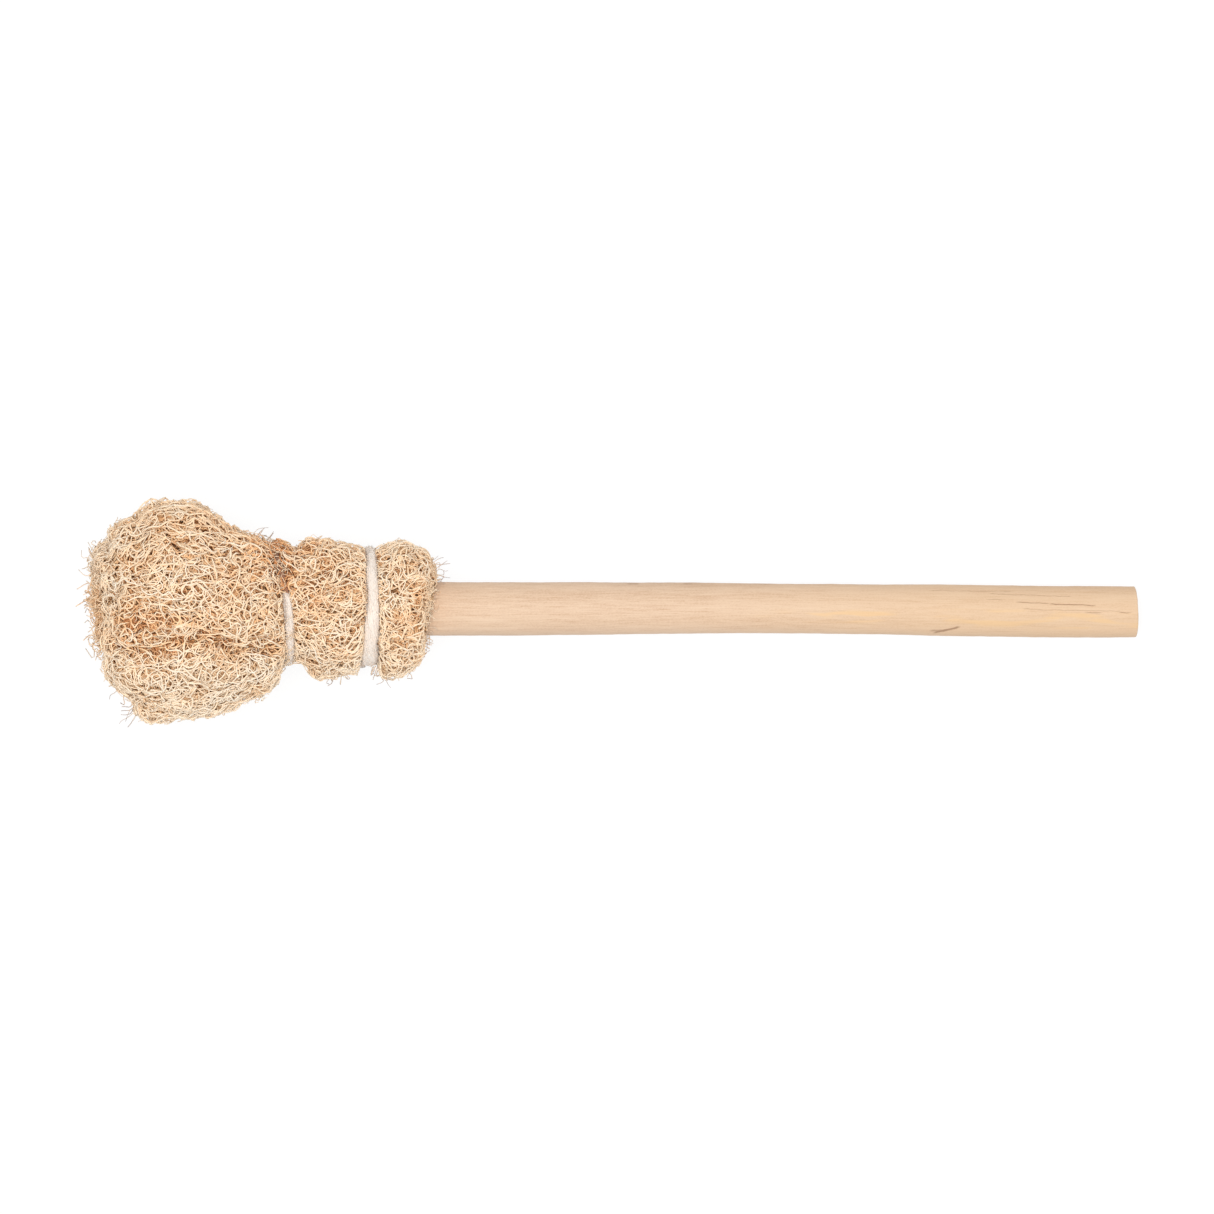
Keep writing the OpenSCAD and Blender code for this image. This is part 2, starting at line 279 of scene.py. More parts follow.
class Skin:
    """The surface of the loofah, smoothed and pushed to its outline, with a search for the
    nearest point on it."""

    def __init__(self, node, rounds):
        mesh = node.data
        mesh.calc_loop_triangles()
        corners = np.empty(len(mesh.loop_triangles) * 3, int)
        mesh.loop_triangles.foreach_get("vertices", corners)
        rounded = np.round(points_of(mesh), 3)
        self.points, index = np.unique(rounded, axis=0, return_inverse=True)
        a, b, c = index.ravel()[corners].reshape(-1, 3).T
        whole = (a != b) & (b != c) & (a != c)
        self.faces = np.stack([a, b, c], 1)[whole]
        place = to_brush(self.points)
        radius = round_axis(place)[1]
        self.in_hole = (radius < HOLE_R + 0.2) & (place[:, 0] > HANDLE_START - 0.5)
        self.smooth(rounds)
        self.prepare()
        self.swell()
        self.prepare()

    def smooth(self, rounds):
        ends = ([0, 1], [1, 2], [2, 0])
        pairs = np.concatenate([self.faces[:, pair] for pair in ends])
        for _ in range(rounds):
            total = np.zeros_like(self.points)
            count = np.zeros(len(self.points))
            for a, b in ((0, 1), (1, 0)):
                np.add.at(total, pairs[:, a], self.points[pairs[:, b]])
                np.add.at(count, pairs[:, a], 1)
            mean = (self.points + total / count[:, None]) / 2
            self.points = np.where(self.in_hole[:, None], self.points, mean)

    def swell(self):
        """Pushes the surface to the outline, raises it over the hidden part of the neck tie
        and draws in its end."""
        place = to_brush(self.points)
        push = np.zeros(len(place))
        for station, side, spread, amount in SWELLS:
            away = np.hypot(place[:, 0] - station, place[:, 1] - side)
            push += amount * bell(away / spread)
        level = self.normals - (self.normals @ UP)[:, None] * UP
        moved = self.points + level * push[:, None]
        local = in_tie(to_brush(moved), NECK_TIE)
        lacking = np.maximum(COVER_R - round_axis(local)[1], 0)
        share = neck_cover(to_brush(moved)) * ease((COVER_HALF - np.abs(local[:, 0])) / 1.4)
        outward = unit(moved - FRONT - ((moved - FRONT) @ AXIS)[:, None] * AXIS)
        moved += outward * (lacking * share)[:, None]
        self.points = np.where(self.in_hole[:, None], self.points, moved)
        drawn = (END_DRAW - END_SLANT * place[:, 1]) * ease((place[:, 0] - END_DRAW_FROM) / 3)
        self.points -= drawn[:, None] * AXIS

    def corners(self, faces):
        return (self.points[faces[:, k]] for k in range(3))

    def prepare(self):
        a, b, c = self.corners(self.faces)
        across = np.cross(b - a, c - a)
        self.areas = np.linalg.norm(across, axis=1) / 2
        self.areas[self.in_hole[self.faces].all(axis=1)] = 0
        normals = np.zeros_like(self.points)
        for k in range(3):
            np.add.at(normals, self.faces[:, k], across)
        self.normals = unit(normals)
        self.tree = BVHTree.FromPolygons(self.points.tolist(), self.faces.tolist())

    def scatter(self, per_mm2, rng):
        """Random points, spread evenly over the outside of the surface."""
        total = self.areas.sum()
        count = int(total * per_mm2)
        chosen = rng.choice(len(self.areas), count, p=self.areas / total)
        u, v = rng.random((2, count, 1))
        root = np.sqrt(u)
        a, b, c = self.corners(self.faces[chosen])
        return a * (1 - root) + b * root * (1 - v) + c * root * v

    def press(self, points):
        """The nearest points on the surface and the smooth normals there."""
        flat = points.reshape(-1, 3)
        near, index = np.empty_like(flat), np.empty(len(flat), int)
        for k, point in enumerate(flat.tolist()):
            place, _, index[k], _ = self.tree.find_nearest(point)
            near[k] = place
        faces = self.faces[index]
        a, b, c = self.corners(faces)
        whole = np.cross(b - a, c - a)
        size = np.maximum((whole**2).sum(1), 1e-12)
        of_b = (np.cross(near - a, c - a) * whole).sum(1) / size
        of_c = (np.cross(b - a, near - a) * whole).sum(1) / size
        weights = np.clip(np.stack([1 - of_b - of_c, of_b, of_c], 1), 0, 1)
        normals = (self.normals[faces] * weights[:, :, None]).sum(1)
        return near.reshape(points.shape), unit(normals).reshape(points.shape)


def steered(normals, turn):
    """The direction on the surface that is `turn` radians away from the brush's length."""
    along = AXIS - (normals @ AXIS)[..., None] * normals
    spare = np.cross(normals, UP)
    steep = np.linalg.norm(along, axis=-1, keepdims=True) < 0.3
    along = unit(np.where(steep, spare, along))
    across = np.cross(normals, along)
    return along * np.cos(turn)[..., None] + across * np.sin(turn)[..., None]


def tube_faces(starts, steps, sides):
    """Corner numbers of the walls and ends of tubes whose points begin at these numbers."""
    row = starts[:, None, None] + np.arange(steps - 1)[:, None] * sides
    side = np.arange(sides)
    after = (side + 1) % sides
    walls = np.stack([row + side, row + after, row + sides + after, row + sides + side], -1)
    first = starts[:, None] + side[::-1]
    last = starts[:, None] + (steps - 1) * sides + side
    return walls.reshape(-1, 4), np.concatenate([first, last])


def mesh_of(name, points, faces):
    """A smooth mesh of points in millimetres and of arrays of faces with equal corners."""
    mesh = bpy.data.meshes.new(name)
    mesh.vertices.add(len(points))
    mesh.vertices.foreach_set("co", (points * MM).ravel())
    loops = np.concatenate([group.ravel() for group in faces]).astype(np.int32)
    mesh.loops.add(len(loops))
    mesh.loops.foreach_set("vertex_index", loops)
    sizes = np.concatenate([np.full(len(group), group.shape[1]) for group in faces])
    mesh.polygons.add(len(sizes))
    mesh.polygons.foreach_set("loop_start", (np.cumsum(sizes) - sizes).astype(np.int32))
    mesh.update(calc_edges=True)
    mesh.shade_smooth()
    return mesh


def mark(mesh, name, kind, values):
    """Gives each point of a mesh a value that its material reads."""
    key = {"FLOAT": "value", "FLOAT_VECTOR": "vector", "FLOAT_COLOR": "color"}[kind]
    layer = mesh.attributes.new(name, kind, "POINT")
    layer.data.foreach_set(key, values.astype(np.float32).ravel())


def shown(data):
    """A new object of the scene that shows a mesh, lamp or camera."""
    piece = bpy.data.objects.new(data.name, data)
    bpy.context.scene.collection.objects.link(piece)
    return piece


class Strands:
    """Fibres that share one mesh: tubes with a tint, a depth and a greyness at each point."""

    def __init__(self, sides):
        self.sides = sides
        self.turns = (np.arange(sides) + 0.5) * TURN / sides
        self.groups = []

    def add(self, centres, normals, radii, marks):
        """Arrays of n strands with k points each; marks are tint, depth and greyness."""
        if len(centres):
            self.groups.append((centres, normals, radii, marks))

    def part(self, low, high):
        """The strands whose middle is between two stations."""
        chosen = Strands(self.sides)
        for group in self.groups:
            station = to_brush(group[0].mean(axis=1))[:, 0]
            inside = (station >= low) & (station < high)
            chosen.add(*(values[inside] for values in group))
        return chosen

    def tubes(self, centres, normals, radii):
        """A ring of points round each point of each strand."""
        turns = self.turns[:, None]
        tangents = unit(np.gradient(centres, axis=1))
        sideways = unit(np.cross(normals, tangents))[:, :, None]
        upward = np.cross(tangents, sideways[:, :, 0])[:, :, None]
        around = sideways * np.cos(turns) + upward * np.sin(turns)
        return centres[:, :, None] + around * radii[:, :, None, None]

    def cells(self, first, count, steps, across):
        """The map of a group: each strand has one cell, with its walls between its ends."""
        cell = first + np.arange(count)
        corner = np.stack([cell % across, cell // across], -1)[:, None] / across
        du, dv = 0.8 / (steps - 1), 0.9 / self.sides
        u = 0.1 + du * np.arange(steps - 1)[:, None, None] + du * np.array([0, 0, 1, 1])
        v = 0.05 + dv * np.arange(self.sides)[:, None] + dv * np.array([0, 1, 1, 0])
        walls = np.stack(np.broadcast_arrays(u, v), -1).reshape(-1, 2)
        disc = np.stack([np.cos(self.turns), np.sin(self.turns)], -1) * 0.03
        ends = [corner + (disc + [middle, 0.5]) / across for middle in (0.05, 0.95)]
        return (corner + walls / across).reshape(-1, 2), np.concatenate(ends).reshape(-1, 2)

    def build(self, name):
        sides = self.sides
        across = math.ceil(math.sqrt(sum(len(group[0]) for group in self.groups)))
        points, marks, walls, ends, wall_map, end_map = [], [], [], [], [], []
        start, cell = 0, 0
        for centres, normals, radii, values in self.groups:
            count, steps = centres.shape[:2]
            points.append(self.tubes(centres, normals, radii).reshape(-1, 3))
            marks.append(np.repeat(values.reshape(-1, 3), sides, axis=0))
            starts = start + np.arange(count) * steps * sides
            new = tube_faces(starts, steps, sides) + self.cells(cell, count, steps, across)
            for kept, part in zip((walls, ends, wall_map, end_map), new):
                kept.append(part)
            start += count * steps * sides
            cell += count
        mesh = mesh_of(name, np.concatenate(points), walls + ends)
        places = np.concatenate(wall_map + end_map).astype(np.float32)
        mesh.uv_layers.new(name="OFBake").uv.foreach_set("vector", places.ravel())
        mark(mesh, "fibre", "FLOAT_COLOR", np.insert(np.concatenate(marks), 3, 1.0, axis=1))
        return shown(mesh)


SKIN_ROUNDS = 3
skin = Skin(frame["nodes"]["loofah"], SKIN_ROUNDS)

# How fibres keep clear of a tie: the gap over, under and beside it, the slopes at which they
# leave it from over and from under, and how far along the brush it acts on them
OVER_TIE = 0.04
UNDER_TIE = 0.06
BESIDE_TIE = 0.05
OVER_SLOPE = 1.5
UNDER_SLOPE = 6
TIE_REACH = 5
HANDLE_GAP = 0.1


def kept_off(centres, radii, over_neck=False, over_collar=False):
    """Keeps strands under the ties, or over them, off the handle and above the floor."""
    place = to_brush(centres)
    for tie, over in ((NECK_TIE, over_neck), (COLLAR_TIE, over_collar)):
        local = in_tie(place, tie)
        angle, reach = round_axis(local)
        reach = np.maximum(reach, 0.1)
        from_middle = np.abs(local[..., 0])
        edge = half_width(tie, np.radians(angle))
        beside = np.maximum(from_middle - edge - BESIDE_TIE, 0)
        floor = tie["bind_r"] + TIE_GAP + TIE_T + OVER_TIE + radii - OVER_SLOPE * beside
        roof = tie["bind_r"] - UNDER_TIE - radii + UNDER_SLOPE * beside
        scale = np.where(over, np.maximum(floor / reach, 1), np.minimum(roof / reach, 1))
        local[..., 1:] *= np.where(from_middle < TIE_REACH, scale, 1)[..., None]
        place = out_of_tie(local, tie)
    reach = np.maximum(round_axis(place)[1], 0.1)
    scale = np.maximum((GRIP_R + HANDLE_GAP + radii) / reach, 1)
    place[..., 1:] *= np.where(place[..., 0] > HANDLE_START - 0.5, scale, 1)[..., None]
    centres = from_brush(place)
    centres[..., 2] = np.maximum(centres[..., 2], radii)
    return centres


def lay(strands, path, normals, radii, marks, *over):
    """Adds fibres along paths, with marks that are arrays or plain numbers."""
    marks = np.stack(np.broadcast_arrays(*marks), -1)
    strands.add(kept_off(path, radii, *over), normals, radii, np.clip(marks, 0, 1))


def flow(points, seed):
    """The way the fibres run: mostly along the brush, and most of all beside a furrow."""
    place = to_brush(points)
    wild = np.where(place[..., 0] > COLLAR_AT, 1.3, 0.8)
    return wild * waves(points, 7.0, seed) * (1 - 0.85 * furrow(place, 2.2))


def search(points):
    """A search for the points that lie near a place."""
    tree = KDTree(len(points))
    for k, point in enumerate(points.tolist()):
        tree.insert(point, k)
    tree.balance()
    return tree


def spaced(points, gap):
    """Those of the points that are left when no two may be closer than their gap."""
    tree = search(points)
    free = np.ones(len(points), bool)
    for k, (point, reach) in enumerate(zip(points.tolist(), gap.tolist())):
        if free[k]:
            for _, other, _ in tree.find_range(point, reach):
                free[other] = other <= k and free[other]
    return points[free]


def link(nodes, targets, snap):
    """Pairs of a node and the node nearest to its target."""
    tree = search(nodes)
    pairs = set()
    for owners, aims in targets:
        for k, target in zip(owners.tolist(), aims.tolist()):
            _, other, distance = tree.find(target)
            if distance < snap and other != k:
                pairs.add((min(k, other), max(k, other)))
    return np.array(sorted(pairs))


def curve(start, end, lead, arrive, t):
    """Smooth curves from start to end, with the slopes `lead` and `arrive` at their ends."""
    t = t[None, :, None]
    a, b, u, v = (values[:, None] for values in (start, end, lead, arrive))
    return (
        a * (2 * t**3 - 3 * t**2 + 1)
        + u * (t**3 - 2 * t**2 + t)
        + b * (3 * t**2 - 2 * t**3)
        + v * (t**3 - t**2)
    )


def net_pairs(nodes, normals, main, layer, rng):
    """Pairs of nodes that share a fibre: one along the main way, and for some nodes one along
    a branch. Over an opening there are fewer."""
    count = len(nodes)
    branch = main + rng.choice([-1, 1], count) * rng.uniform(0.35, 1.3, count)
    targets = []
    for heading, reach, share in ((main, (1.4, 3.0), 1.0), (branch, (1.1, 2.1), layer["branches"])):
        owners = np.flatnonzero(rng.random(count) < share)
        far = layer["gap"] * rng.uniform(*reach, (count, 1))
        targets.append((owners, (nodes + steered(normals, heading) * far)[owners]))
    pairs = link(nodes, targets, layer["gap"])
    middle = to_brush((nodes[pairs[:, 0]] + nodes[pairs[:, 1]]) / 2)
    cut = np.maximum(furrow(middle, 0.75), 0.6 * neck_notch(middle))
    return pairs[rng.random(len(pairs)) > layer["opening"] * cut]


def net_leads(span, length, pairs, ways, rng):
    """Slopes at both ends of each fibre, so that the fibres of a node start side by side."""
    merge = rng.uniform(0.1, 0.75, len(ways))
    leads = []
    for node in pairs.T:
        sense = np.sign((span * ways[node]).sum(1, keepdims=True))
        share = merge[node][:, None]
        way = unit(span) * (1 - share) + sense * ways[node] * share
        leads.append(unit(way) * length[:, None])
    return leads


def net_marks(place, height, rng):
    """Tint, depth and greyness: paler where pale() paints light, and deeper, as painted shade,
    in furrows, at the neck notch, far down and where pale() paints shade.
    """
    # Tint is lifted by the painted light of pale(), and depth is raised where it paints shade
    painted_light = pale(place)
    tint = rng.normal(0.5, 0.2, (len(place), 1)) + 0.5 * painted_light
    # Furrows and the neck notch get a deeper mark, so a browner colour: painted shade in the
    # creases
    crease_shade = 0.55 * furrow(place, 1.1) + 0.8 * neck_notch(place)
    return tint, crease_shade - height / 1.55 - 0.4 * np.minimum(painted_light, 0), 0


def net(strands, layer, rng):
    """The mesh of the loofah at one depth: short fibres that meet in shared nodes."""
    seed = layer["seed"]
    nodes = skin.scatter(6 / layer["gap"] ** 2, rng)
    nodes = spaced(nodes, layer["gap"] * (1 + 0.22 * waves(nodes, 3.5, seed + 5)))
    _, normals = skin.press(nodes)
    main = flow(nodes, seed) + layer["spread"] * rng.normal(size=len(nodes))
    pairs = net_pairs(nodes, normals, main, layer, rng)
    uneven = 0.5 * waves(nodes, 2.2, seed + 3) + 0.6 * rng.normal(size=len(nodes))
    tufts = np.maximum(waves(nodes, 3.0, seed + 6) - 0.7, 0)
    heights = layer["depth"] + layer["rough"] * uneven + layer["tufts"] * tufts
    span = nodes[pairs[:, 1]] - nodes[pairs[:, 0]]
    length = np.linalg.norm(span, axis=1)
    leads = net_leads(span, length, pairs, steered(normals, main), rng)
    steps = np.clip(np.ceil(length / layer["step"]).astype(int), 3, 9)
    for number in np.unique(steps):
        k = np.flatnonzero(steps == number)
        first, last = pairs[k].T
        size, t = length[k][:, None], np.linspace(0, 1, number + 1)
        arch = np.sin(math.pi * t)
        path = curve(nodes[first], nodes[last], leads[0][k], leads[1][k], t)
        sideways = unit(np.cross(normals[first], span[k]))[:, None]
        bow = size * np.clip(rng.normal(0, 0.08, size.shape), -0.2, 0.2)
        path += sideways * (bow * arch)[..., None]
        near, up = skin.press(path)
        height = heights[first][:, None] * (1 - t) + heights[last][:, None] * t
        height = height + size * rng.normal(0.02, 0.05, size.shape) * arch
        thick = rng.uniform(*layer["radius"], size.shape) * (0.95 + 0.25 * np.abs(2 * t - 1) ** 4)
        place = to_brush(near)
        marks = net_marks(place, height, rng)
        over = (neck_cover(place).mean(axis=1, keepdims=True) > 0.5) & layer["over"]
        lay(strands, near + up * height[..., None], up, thick, marks, over)


# How long a step of a winding fibre is, and the seed of the flow that it follows
WANDER_STEP = 0.45
WANDER_SEED = 900


def wander(strands, rng, starts, steps, height, radius, curl, pull):
    """Longer fibres that wind over the surface by themselves."""
    count = len(starts)
    near, up = skin.press(starts)
    turn = flow(starts, WANDER_SEED) + 0.5 * rng.normal(size=count)
    heading = steered(up, turn + rng.choice([0, math.pi], count))
    bend = rng.normal(0, curl, count)
    path, normals = [near], [up]
    for _ in range(steps):
        bend = 0.75 * bend + rng.normal(0, curl * 0.66, count)
        angle = (bend * WANDER_STEP)[:, None]
        heading = heading * np.cos(angle) + np.cross(up, heading) * np.sin(angle)
        way = steered(up, flow(near, WANDER_SEED))
        sense = np.sign((heading * way).sum(1, keepdims=True))
        heading = unit(heading + pull * WANDER_STEP * sense * way)
        near, up = skin.press(near + heading * WANDER_STEP)
        heading = unit(heading - (heading * up).sum(1, keepdims=True) * up)
        path.append(near)
        normals.append(up)
    path, normals = np.stack(path, 1), np.stack(normals, 1)
    ends = np.abs(2 * np.linspace(0, 1, steps + 1)[None, :] - 1)
    lift = rng.uniform(*height, (count, 1)) + 0.2 * waves(path, 2.5, WANDER_SEED + 4)
    lift = lift - 0.8 * ends**6
    thick = rng.uniform(*radius, (count, 1)) * (1 - 0.3 * ends**3)
    # Paler where pale() paints light, and deeper, so browner, when lower and in furrows: painted
    # shade
    tint = rng.normal(0.65, 0.2, (count, 1)) + 0.35 * pale(to_brush(path))
    deep = 0.1 - lift / 1.6 + 0.35 * furrow(to_brush(path), 1.1)
    lay(strands, path + normals * lift[..., None], normals, thick, (tint, deep, 0))


def loose(strands, rng, starts, length, lift, radius, curl, painted_grey, brown=0.0, toward=None):
    """Fine ends and loops that stand clear of the surface."""
    count = len(starts)
    near, up = skin.press(starts)
    heading = steered(up, rng.uniform(0, TURN, count))
    if toward is not None:
        heading = unit(heading * 0.6 + np.array(toward) @ BRUSH)
    t = np.linspace(0, 1, 8)[None, :]
    size = rng.uniform(*length, (count, 1))
    rise = rng.uniform(*lift, (count, 1))
    looped = rng.random((count, 1)) < 0.45
    height = np.where(looped, np.sin(math.pi * t), t**0.8) * rise - 0.3
    bow = rng.normal(0, curl, (count, 1)) * size * np.sin(math.pi * t)
    bow = bow + rng.normal(0, 0.3 * curl, (count, 1)) * size * np.sin(3 * math.pi * t)
    sideways = np.cross(up, heading)[:, None]
    path = near[:, None] + heading[:, None] * (size * t)[..., None]
    path = path + sideways * bow[..., None] + up[:, None] * height[..., None]
    thick = rng.uniform(*radius, (count, 1)) * (1 - 0.35 * t)
    normals = np.repeat(up[:, None], t.shape[1], axis=1)
    tint = rng.normal(0.5, 0.2, (count, 1))
    # The brown goes into the depth mark and the grey grows toward each end: both painted shade
    lay(strands, path, normals, thick, (tint, brown, 1.4 * painted_grey * t), True, True)


def near_spot(rng, station, side, upward, spread, count):
    """Starts within `spread` of the surface's nearest point to a place on the brush."""
    middle, _ = skin.press(from_brush(np.array([[station, side, upward]], float)))
    spots = skin.scatter(count / 4, rng)
    inside = np.linalg.norm(spots - middle, axis=1) < spread
    return spots[inside][:count]


# Winding fibres: number, steps, height over the surface, radius, how much they curl, how
# strongly the flow turns them, and whether they lie only on the shoulders of a furrow
WINDERS = (
    (620, 5, (0.1, 0.7), (0.08, 0.13), 1.3, 0.25, False),
    (800, 9, (0.0, 0.45), (0.09, 0.145), 1.0, 0.25, False),
    (220, 14, (0.0, 0.35), (0.10, 0.145), 0.7, 0.25, False),
    (90, 12, (0.0, 0.35), (0.09, 0.14), 0.3, 1.2, True),
)

# Strays all over the roll and beside the neck tie: number, length, height, radius, and greyness,
# which is painted shade toward their ends
STRAYS = (1900, (0.7, 2.0), (0.35, 1.05), (0.055, 0.09), 0.1)
TIE_STRAYS = (90, (1.6, 3.4), (0.4, 1.0), (0.06, 0.1), 0.0)
STRAY_CURL = 0.5

# How far strays start from the middle of each tie at least
COLLAR_CLEAR = 2.4
NECK_CLEAR = 2.0

# Tufts and wisps that show in the outline: station, sideways and upward place, spread,
# number, direction, length, radius, greyness and how brown they are; the grey and the brown are
# painted shade
TUFTS = (
    (0.8, -1.0, 3.0, 3.4, 52, (-0.35, 0.1, 0.2), (1.2, 2.7), (0.085, 0.125), 0.1, 0.35),
    (2.0, -5.0, 3.0, 2.4, 26, (-0.35, -0.3, 0.1), (1.4, 2.8), (0.08, 0.12), 0.15, 0.25),
    (1.5, 7.0, 3.0, 3.2, 26, (-0.3, 0.1, 0.1), (1.4, 2.6), (0.07, 0.11), 0.3, 0.05),
    (6.5, -14.8, 0.0, 2.2, 9, (-0.7, -0.8, 0.0), (1.6, 2.8), (0.06, 0.1), 0.9, 0.0),
    (27.3, 12.6, 0.0, 1.2, 6, (0.6, 1.0, 0.2), (1.2, 2.2), (0.06, 0.1), 0.7, 0.1),
    (53.0, 5.8, 2.0, 1.8, 12, (1.0, 0.3, 0.0), (1.2, 2.5), (0.05, 0.08), 0.85, 0.0),
    (52.6, 0.0, 7.0, 4.6, 24, (0.8, 0.0, 0.2), (0.6, 1.2), (0.06, 0.1), 0.1, 0.1),
    (52.2, -5.0, 2.0, 2.0, 12, (1.0, -0.4, 0.0), (0.8, 1.7), (0.06, 0.1), 0.45, 0.1),
    (43.5, -9.6, 0.0, 1.6, 6, (0.2, -1.0, 0.0), (0.8, 1.5), (0.06, 0.1), 0.9, 0.0),
    (47.0, -10.6, 0.0, 2.2, 6, (0.3, -1.0, 0.0), (1.0, 1.8), (0.06, 0.1), 0.9, 0.0),
    (38.5, -10.4, 0.0, 2.4, 6, (-0.3, -1.0, 0.0), (0.8, 1.6), (0.06, 0.1), 0.8, 0.0),
)
TUFT_LIFT = (0.3, 1.3)
TUFT_CURL = 0.7

# The mesh of the loofah in layers from the outside in: height of the fibres over the surface,
# how rough and tufted it is, gap between nodes, share of the nodes with a second fibre, how
# far directions spread in radians, radius and length of a piece of fibre, how open the
# openings are, whether it runs over the hidden part of the neck tie, sides of a tube, seed
USUAL = {"tufts": 0.0, "branches": 0.7, "over": False, "sides": 3}
LAYERS = {
    "outer": {**USUAL, "depth": -0.12, "rough": 0.3, "tufts": 0.9, "gap": 0.79, "spread": 0.6,
              "radius": (0.095, 0.155), "step": 0.55, "opening": 0.8, "over": True, "sides": 4,
              "seed": 100},
    "second": {**USUAL, "depth": -0.55, "rough": 0.18, "gap": 0.7, "spread": 0.7,
               "radius": (0.095, 0.145), "step": 0.6, "opening": 0.7, "over": True, "seed": 200},
    "third": {**USUAL, "depth": -0.95, "rough": 0.2, "gap": 0.85, "branches": 0.8,
              "spread": 0.8, "radius": (0.12, 0.18), "step": 0.75, "opening": 0.4, "seed": 300},
    "deep": {**USUAL, "depth": -1.4, "rough": 0.25, "gap": 1.1, "branches": 0.9,
             "spread": 0.9, "radius": (0.18, 0.26), "step": 0.9, "opening": 0.0, "seed": 400},
}


def srgb(colour):
    """A colour as it looks, 0 to 255, as the linear numbers that a shader takes."""
    c = np.array(colour, float) / 255
    linear = np.where(c <= 0.04045, c / 12.92, ((c + 0.055) / 1.055) ** 2.4)
    return (*linear.tolist(), 1.0)


class Nodes:
    """A tree of shader nodes in the making."""

    def __init__(self, tree):
        self.tree = tree

    def put(self, socket, value):
        if isinstance(value, bpy.types.NodeSocket):
            self.tree.links.new(value, socket)
        else:
            socket.default_value = value

    def node(self, kind, inputs=None, **settings):
        node = self.tree.nodes.new("ShaderNode" + kind)
        for name, value in settings.items():
            setattr(node, name, value)
        for name, value in (inputs or {}).items():
            self.put(node.inputs[name], value)
        return node

    def attribute(self, name):
        return self.node("Attribute", attribute_name=name).outputs

    def math(self, operation, *values):
        return self.node("Math", dict(enumerate(values)), operation=operation).outputs[0]

    def span(self, value, low, high, start=0.0, end=1.0):
        """Goes smoothly from `start` to `end` while the value goes from `low` to `high`."""
        inputs = {"Value": value, "From Min": low, "From Max": high, "To Min": start, "To Max": end}
        return self.node("MapRange", inputs, interpolation_type="SMOOTHSTEP").outputs["Result"]

    def mix(self, factor, a, b):
        return self.node("Mix", {"Factor": factor, 6: a, 7: b}, data_type="RGBA").outputs[2]

    def ramp(self, value, *stops):
        node = self.node("ValToRGB", {"Fac": value})
        elements = node.color_ramp.elements
        while len(elements) < len(stops):
            elements.new(0.5)
        for element, (at, colour) in zip(elements, stops):
            element.position = at
            element.color = srgb(colour)
        return node.outputs["Color"]

    def noise(self, vector, scale, detail, roughness=0.5):
        inputs = {"Vector": vector, "Scale": scale, "Detail": detail, "Roughness": roughness}
        return self.node("TexNoise", inputs).outputs["Fac"]

    def grain(self, vector, scale, detail, roughness=0.5):
        """Noise with a scale of its own along each axis."""
        stretched = self.node("Mapping", {"Vector": vector, "Scale": scale}).outputs["Vector"]
        return self.noise(stretched, 1.0, detail, roughness)

    def plain_view(self):
        """1 for the camera and for gloss, which see a plain background, and 0 for light."""
        rays = self.node("LightPath").outputs
        return self.math("MAXIMUM", rays["Is Camera Ray"], rays["Is Glossy Ray"])


class Shader(Nodes):
    """A material in the making."""

    def __init__(self, name):
        self.material = bpy.data.materials.new(name)
        self.material.use_nodes = True
        super().__init__(self.material.node_tree)
        self.main = self.tree.nodes["Principled BSDF"]

    def bump(self, height, depth, strength=1.0):
        inputs = {"Height": height, "Distance": depth, "Strength": strength}
        self.put(self.main.inputs["Normal"], self.node("Bump", inputs).outputs["Normal"])

    def finish(self, colour, **constants):
        self.put(self.main.inputs["Base Color"], colour)
        for name, value in constants.items():
            self.main.inputs[name.replace("_", " ")].default_value = value
        return self.material


def fibre_material():
    """Dry plant fibre: cream where it is outermost, and tan and brown further in as painted shade.
    """
    s = Shader("loofah_fibre")
    marks = s.node("SeparateColor", {"Color": s.attribute("fibre")["Color"]}).outputs
    place = s.node("TexCoord").outputs["Object"]
    patches = s.noise(place, 190.0, 3.0)
    # The tint mark is random tone, lifted where pale() paints light
    tint = s.math("MULTIPLY_ADD", marks["Red"], 0.6, s.math("MULTIPLY_ADD", patches, 1.1, -0.35))
    outer = s.ramp(tint, (0.0, (254, 215, 172)), (0.5, (255, 229, 196)), (1.0, (255, 241, 221)))
    inner = s.ramp(tint, (0.0, (246, 191, 136)), (0.5, (253, 210, 160)), (1.0, (255, 226, 188)))
    brown = s.ramp(tint, (0.0, (200, 132, 78)), (0.5, (224, 160, 106)), (1.0, (242, 195, 144)))
    # The depth mark turns the fibre from cream to tan and brown: painted shade of deeper layers,
    # furrows, the neck notch and the +Y slope
    tan = s.mix(s.span(marks["Green"], 0.0, 0.55), outer, inner)
    tan = s.mix(s.span(marks["Green"], 0.5, 1.0, 0.0, 0.85), tan, brown)
    # Greyer toward the ends of strays and tufts: painted shade
    colour = s.mix(marks["Blue"], tan, srgb((196, 178, 170)))
    s.bump(s.noise(place, 2600.0, 2.0), 0.00004, 0.5)
    return s.finish(colour, Roughness=0.62, Specular_IOR_Level=0.3)


def core_material():
    """The spongy inside, with small tan cells."""
    s = Shader("loofah_core")
    place = s.node("TexCoord").outputs["Object"]
    cells = s.node("TexVoronoi", {"Vector": place, "Scale": 1100.0}, feature="DISTANCE_TO_EDGE")
    edges = cells.outputs["Distance"]
    # Tan, and darker toward the middle of each cell: painted shade in the cell hollows
    colour = s.ramp(edges, (0.0, (244, 200, 152)), (0.07, (236, 186, 136)), (0.2, (214, 156, 104)))
    s.bump(s.span(edges, 0.05, 0.2, 1.0, 0.0), 0.0004)
    return s.finish(colour, Roughness=0.9, Specular_IOR_Level=0.1)


